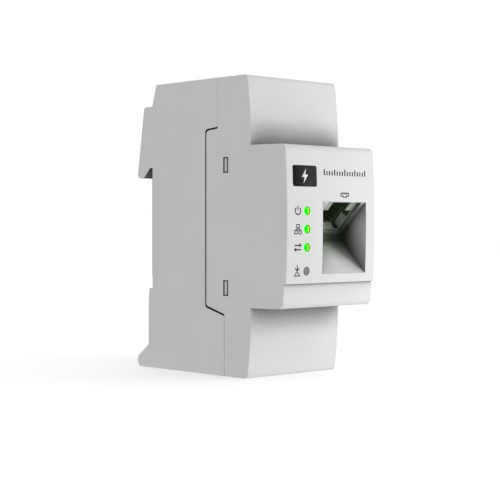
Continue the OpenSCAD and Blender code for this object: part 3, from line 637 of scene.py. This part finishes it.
def line(points, width=LINE_W, closed=False):
    """Four-cornered patches of one line with mitred bends."""
    count = len(points)
    sides = []
    for i, point in enumerate(points):
        here = Vector(point)
        before = Vector(points[i - 1]) if i or closed else None
        after = Vector(points[(i + 1) % count]) if i < count - 1 or closed else None
        way_in = (here - before).normalized() if before else (after - here).normalized()
        way_out = (after - here).normalized() if after else way_in
        mitre = (way_in.orthogonal() + way_out.orthogonal()).normalized()
        reach = width / 2 / max(0.4, mitre.dot(way_in.orthogonal()))
        sides.append((here + mitre * reach, here - mitre * reach))
    pairs = list(zip(sides, sides[1:] + (sides[:1] if closed else [])))
    return [[a[0], a[1], b[1], b[0]] for a, b in pairs]


def printed(name, patches, ink, thick=INK_T, slices=0.5):
    """A thin closed layer of ink that follows the curved front; patches are outlines in mm, as (x, z)."""
    shape = bmesh.new()
    for patch in patches:
        shape.faces.new([shape.verts.new((x * MM, 0, z * MM)) for x, z in patch])
    bmesh.ops.remove_doubles(shape, verts=shape.verts, dist=1e-6)
    heights = [v.co.z / MM for v in shape.verts]
    for i in range(int((max(heights) - min(heights)) / slices)):
        everything = [*shape.verts, *shape.edges, *shape.faces]
        cut = (0, 0, (min(heights) + (i + 1) * slices) * MM)
        bmesh.ops.bisect_plane(shape, geom=everything, plane_co=cut, plane_no=(0, 0, 1), dist=1e-7)
    raised = bmesh.ops.extrude_face_region(shape, geom=list(shape.faces))["geom"]
    fronts = {v for v in raised if isinstance(v, bmesh.types.BMVert)}
    for vert in shape.verts:
        vert.co.y = face_y(vert.co.z) + (-thick if vert in fronts else INK_ROOT)
    return link_piece(name, mesh_from(shape, name), ink, METER)


def power_icon(x, z):
    return line(arc(x, z, 1.05, 128, 412, 32)) + line([(x, z + 0.15), (x, z + 1.35)])


def network_icon(x, z):
    boxes = [(x, z + 0.85), (x - 0.8, z - 0.85), (x + 0.8, z - 0.85)]
    patches = []
    for cx, cz in boxes:
        patches += line(rounded_box(cx - 0.52, cx + 0.52, cz - 0.44, cz + 0.44, 0.12), THIN_W, closed=True)
    patches += line([(x, z + 0.43), (x, z)], THIN_W)
    return patches + line([(x - 0.8, z - 0.43), (x - 0.8, z), (x + 0.8, z), (x + 0.8, z - 0.43)], THIN_W)


def exchange_icon(x, z):
    """Two arrows, one each way."""
    patches = []
    for way, row in ((1, 0.6), (-1, -0.6)):
        tip = (x + way * 1.25, z + row)
        barb_x = tip[0] - way * 0.62
        patches += line([(x - way * 1.25, z + row), tip])
        patches += line([(barb_x, tip[1] + 0.5), tip, (barb_x, tip[1] - 0.5)], THIN_W)
    return patches


def press_icon(x, z):
    """An arrow down to a dome on a bar."""
    patches = line([(x, z + 1.75), (x, z + 0.2)])
    patches += line([(x - 0.85, z + 0.95), (x, z + 0.1), (x + 0.85, z + 0.95)], 0.3)
    patches += line(arc(x, z - 1.12, 0.82, 0, 180, 16), THIN_W)
    return patches + line([(x - 1.25, z - 1.22), (x + 1.25, z - 1.22)], THIN_W)


def socket_icon(x, z):
    """Outline of a network socket with its contacts."""
    patches = line([(x + dx, z + dz) for dx, dz in SOCKET_OUTLINE], SOCKET_W, closed=True)
    for i in range(4):
        pin_x = x + (i - 1.5) * 0.62
        patches += line([(pin_x, z + 0.4), (pin_x, z + 0.06)], PIN_W)
    return patches


def tick_row(x0, x1, z0, z1, count=17, major=4):
    """A scale of ticks, every fourth one full height."""
    patches = []
    for i in range(count):
        x = x0 + (x1 - x0) * i / (count - 1)
        top = z1 if i % major == 0 else z0 + (z1 - z0) * SHORT_TICK
        patches += line([(x, z0), (x, top)], TICK_W)
    return patches


ink = printing_ink("front_ink", (0.016, 0.0165, 0.018))
BADGE_X = (-15.5, -6.0)
BADGE_Z = (11.05, 16.95)
BOLT = [(0.55, 2.1), (-1.25, -0.35), (-0.15, -0.35), (-0.55, -2.1), (1.25, 0.4), (0.15, 0.4)]
badge_mid = (sum(BADGE_X) / 2, sum(BADGE_Z) / 2)
printed("front_badge", [rounded_box(*BADGE_X, *BADGE_Z, 0.6)], ink)
printed(
    "front_badge_bolt", [[(badge_mid[0] + dx, badge_mid[1] + dz) for dx, dz in BOLT]],
    printing_ink("badge_ink", (0.72, 0.72, 0.71)), 2 * INK_T,
)
printed("front_scale_print", tick_row(*SCALE_X, *SCALE_Z), ink)
printed("front_socket_print", socket_icon(*SOCKET_AT), ink)
printed("front_power_print", power_icon(ICON_X, POWER_Z), ink)
printed("front_network_print", network_icon(ICON_X, NETWORK_Z), ink)
printed("front_exchange_print", exchange_icon(ICON_X, EXCHANGE_Z), ink)
printed("front_press_print", press_icon(ICON_X, PRESS_Z), ink)

# ---------------------------------------------------------------- springs
COIL_TURNS = 7
COIL_STEPS = 32
WIRE_SIDES = 12
WIRE_R = 0.275 * MM


def coil_height(turn, low, high):
    """Height of the coil after some turns; the first and last turns lie almost closed."""
    close = WIRE_R * 2.4
    pitch = (high - low - 2 * close) / (COIL_TURNS - 2)
    if turn < 1:
        return low + turn * close
    if turn > COIL_TURNS - 1:
        return high - (COIL_TURNS - turn) * close
    return low + close + (turn - 1) * pitch


def coil_spring(name, node, material):
    """A round-wire compression spring in place of a node, which shortens towards its lower end."""
    low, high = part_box(node)
    mid = (low + high) / 2
    radius = (high.x - low.x) / 2 - WIRE_R
    shape = bmesh.new()
    rings = []
    for i in range(COIL_TURNS * COIL_STEPS + 1):
        turn = i / COIL_STEPS
        angle = math.tau * turn
        out = Vector((math.cos(angle), math.sin(angle), 0))
        core = Vector((mid.x, mid.y, coil_height(turn, low.z + WIRE_R, high.z - WIRE_R))) + out * radius
        spots = []
        for k in range(WIRE_SIDES):
            spin = math.tau * k / WIRE_SIDES
            spots.append(core + out * WIRE_R * math.cos(spin) + Vector((0, 0, WIRE_R * math.sin(spin))))
        rings.append([shape.verts.new(spot) for spot in spots])
    for near, far in zip(rings, rings[1:]):
        for k in range(WIRE_SIDES):
            n = (k + 1) % WIRE_SIDES
            shape.faces.new((near[k], near[n], far[n], far[k]))
    shape.faces.new(rings[0][::-1])
    shape.faces.new(rings[-1])
    piece = link_piece(name, mesh_from(shape, name), material, METER)
    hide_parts(node)
    even_normals(piece)
    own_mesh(piece)
    return piece


CLAMP_ANGLE = 40
spring_steel = worked_metal("spring_steel", (0.6, 0.6, 0.62), 0.3, (14, 1, 1), 1800, 0.00001)
coil_spring("latch_spring_coil", "latch_spring", spring_steel)
for end, side in (("in", 1), ("out", -1)):
    for pole in ("line", "neutral"):
        node = f"{pole}_{end}_spring"
        leaf = refined(
            node, node + "_leaf", spring_steel, every_convex(0.06 * MM, CLAMP_ANGLE),
            segments=2,
        )
        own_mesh(leaf)
for node in ("bus_a", "bus_b"):
    leaf = refined(
        node + "_spring", node + "_spring_leaf", spring_steel, every_convex(0.03 * MM, CLAMP_ANGLE),
        segments=2,
    )
    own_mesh(leaf)

# ---------------------------------------------------------------- the rest of the CAD nodes
PLAIN = {
    "rail_latch": moulded_plastic("latch_plastic", (0.035, 0.037, 0.04), 0.5),
    "lan_jack": moulded_plastic("jack_plastic", (0.055, 0.085, 0.042), 0.35),
    "lan_jack_shield": plated_sheet("shield_steel", (0.38, 0.43, 0.36)),
    "lan_contacts": worked_metal("contact_gold", (0.5, 0.4, 0.17), 0.3),
    "terminal": moulded_plastic("terminal_plastic", (0.45, 0.46, 0.46), 0.45),
    "release": moulded_plastic("release_plastic", (0.75, 0.2, 0.02), 0.4),
    "board": circuit_board("circuit_board"),
    "black": moulded_plastic("chip_plastic", (0.012, 0.012, 0.013), 0.35),
    "copper": worked_metal("busbar_copper", (0.75, 0.38, 0.22), 0.3),
    "steel": worked_metal("screw_steel", (0.6, 0.6, 0.62), 0.25),
    "shunt": worked_metal("shunt_alloy", (0.3, 0.27, 0.25), 0.4),
    "lead": moulded_plastic("lead_insulation", (0.45, 0.02, 0.015), 0.35),
    "cable": moulded_plastic("cable_insulation", (0.03, 0.03, 0.033), 0.4),
    "ivory": moulded_plastic("plunger_plastic", (0.7, 0.66, 0.5), 0.4),
    "tape": moulded_plastic("winding_tape", (0.8, 0.55, 0.06), 0.3),
    "sleeve": moulded_plastic("capacitor_sleeve", (0.01, 0.02, 0.09), 0.25),
    "epoxy": moulded_plastic("varistor_coating", (0.01, 0.06, 0.3), 0.25),
    "fuse": moulded_plastic("fuse_body", (0.55, 0.45, 0.25), 0.4),
    "lens": moulded_plastic("led_resin", (0.6, 0.7, 0.5), 0.15),
}
FINISH_OF = {
    "front_board": "board", "main_board": "board", "lan_board": "board", "front_board_screws": "steel",
    "front_board_header": "black", "lan_board_header": "black", "microcontroller": "black",
    "metering_chip": "black", "ethernet_chip": "black", "lan_transformer": "black", "reset_switch": "black",
    "reset_switch_plunger": "ivory", "power_transformer": "tape", "filter_capacitors": "sleeve",
    "surge_varistor": "epoxy", "fuse": "fuse", "status_leds": "lens",
    "line_busbar_lower": "copper", "line_busbar_upper": "copper", "neutral_busbar": "copper",
    "bus_contacts": "copper", "current_shunt": "shunt", "shunt_leads": "lead", "bus_leads": "cable",
    "input_terminal_block": "terminal", "output_terminal_block": "terminal",
    "bus_terminal_block": "terminal",
}


def finish_of(node):
    if node in PLAIN:
        return PLAIN[node]
    if node in FINISH_OF:
        return PLAIN[FINISH_OF[node]]
    return PLAIN["release"] if node.endswith("_release") else PLAIN["steel"]


REFINED = {
    "rail_latch": (0.25, "latch", "latch_plastic"),
    "lan_jack": (0.1, METER, "jack_plastic"),
    "lan_jack_shield": (0.06, METER, "shield_steel"),
    "input_terminal_block": (0.2, METER, "terminal_plastic"),
    "output_terminal_block": (0.2, METER, "terminal_plastic"),
    "bus_terminal_block": (0.1, METER, "terminal_plastic"),
}
KEYS = [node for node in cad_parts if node.endswith("_release")]
REFINED.update({node: (0.15, node.replace("_release", "_key"), "release_plastic") for node in KEYS})
for node, (radius, body, slot) in REFINED.items():
    refined(node, node + "_refined", finish_of(node), every_convex(radius * MM), body, segments=3)


SOFT_EDGE_R = 0.08 * MM
SOFT_EDGE_ANGLE = math.radians(40)


def soften(piece):
    """Rounds a CAD node's own edges without touching its mesh."""
    weld = piece.modifiers.new("weld", "WELD")
    weld.merge_threshold = WELD_DIST
    bevel = piece.modifiers.new("round", "BEVEL")
    bevel.limit_method = "ANGLE"
    bevel.angle_limit = SOFT_EDGE_ANGLE
    bevel.width = SOFT_EDGE_R
    bevel.segments = 2
    piece.modifiers.new("weigh", "WEIGHTED_NORMAL").weight = AREA_WEIGHT


for node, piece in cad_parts.items():
    if piece.hide_render:
        continue
    piece.data.materials.clear()
    piece.data.materials.append(finish_of(node))
    soften(piece)


# ---------------------------------------------------------------- stage and light
FLOOR_SIZE = 4.0
FLOOR_GLOW = 0.2


def make_floor():
    mesh = bpy.data.meshes.new("floor")
    corners = [(x, y, -HALF_H) for x, y in ((-1, -1), (1, -1), (1, 1), (-1, 1))]
    mesh.from_pydata([(x * FLOOR_SIZE, y * FLOOR_SIZE, z) for x, y, z in corners], [], [(0, 1, 2, 3)])
    floor = bpy.data.objects.new("floor", mesh)
    bpy.context.scene.collection.objects.link(floor)
    tree = Tree("floor_paint")
    tree.set(roughness=0.9, emission_color=(1, 1, 1, 1), emission_strength=FLOOR_GLOW)
    tree.colour(tree.ramp(tree.noise(3, 2), [(0.3, (0.93, 0.93, 0.93)), (0.7, (0.95, 0.95, 0.95))]))
    mesh.materials.append(tree.material)
    floor.visible_diffuse = False
    floor.visible_glossy = False
    floor.visible_shadow = False


# Studio light that comes from all round, brighter from the right, and a small softbox at the front right.
SKY_LEVEL = 0.90
SKY_TILT = (0.16, 0.0, -0.04)
SOFTBOX_AT = (0.075, -0.135, -0.004)
SOFTBOX_SIZE = (0.03, 0.19)
SOFTBOX_POWER = 0.084


def make_softbox():
    data = bpy.data.lights.new("softbox", "AREA")
    data.energy = SOFTBOX_POWER
    data.shape = "RECTANGLE"
    data.size, data.size_y = SOFTBOX_SIZE
    softbox = bpy.data.objects.new("softbox", data)
    softbox.location = SOFTBOX_AT
    aim = Vector((HALF_W, FACE_Y, 0)) - Vector(SOFTBOX_AT)
    softbox.rotation_euler = aim.to_track_quat("-Z", "Y").to_euler()
    softbox.visible_camera = False
    bpy.context.scene.collection.objects.link(softbox)


def make_world():
    world = bpy.data.worlds.new("studio")
    bpy.context.scene.world = world
    world.use_nodes = True
    nodes, links = world.node_tree.nodes, world.node_tree.links
    place = nodes.new("ShaderNodeTexCoord")
    tilt = nodes.new("ShaderNodeVectorMath")
    tilt.operation = "DOT_PRODUCT"
    tilt.inputs[1].default_value = SKY_TILT
    links.new(place.outputs["Generated"], tilt.inputs[0])
    level = nodes.new("ShaderNodeMath")
    level.operation = "ADD"
    level.inputs[1].default_value = SKY_LEVEL
    links.new(tilt.outputs["Value"], level.inputs[0])
    path = nodes.new("ShaderNodeLightPath")
    seen = nodes.new("ShaderNodeMath")
    seen.operation = "MAXIMUM"
    links.new(level.outputs[0], seen.inputs[0])
    links.new(path.outputs["Is Camera Ray"], seen.inputs[1])
    links.new(seen.outputs[0], nodes["Background"].inputs["Strength"])
    nodes["Background"].inputs["Color"].default_value = (1, 1, 1, 1)


make_floor()
make_world()
make_softbox()
bpy.context.scene.view_settings.view_transform = "Standard"
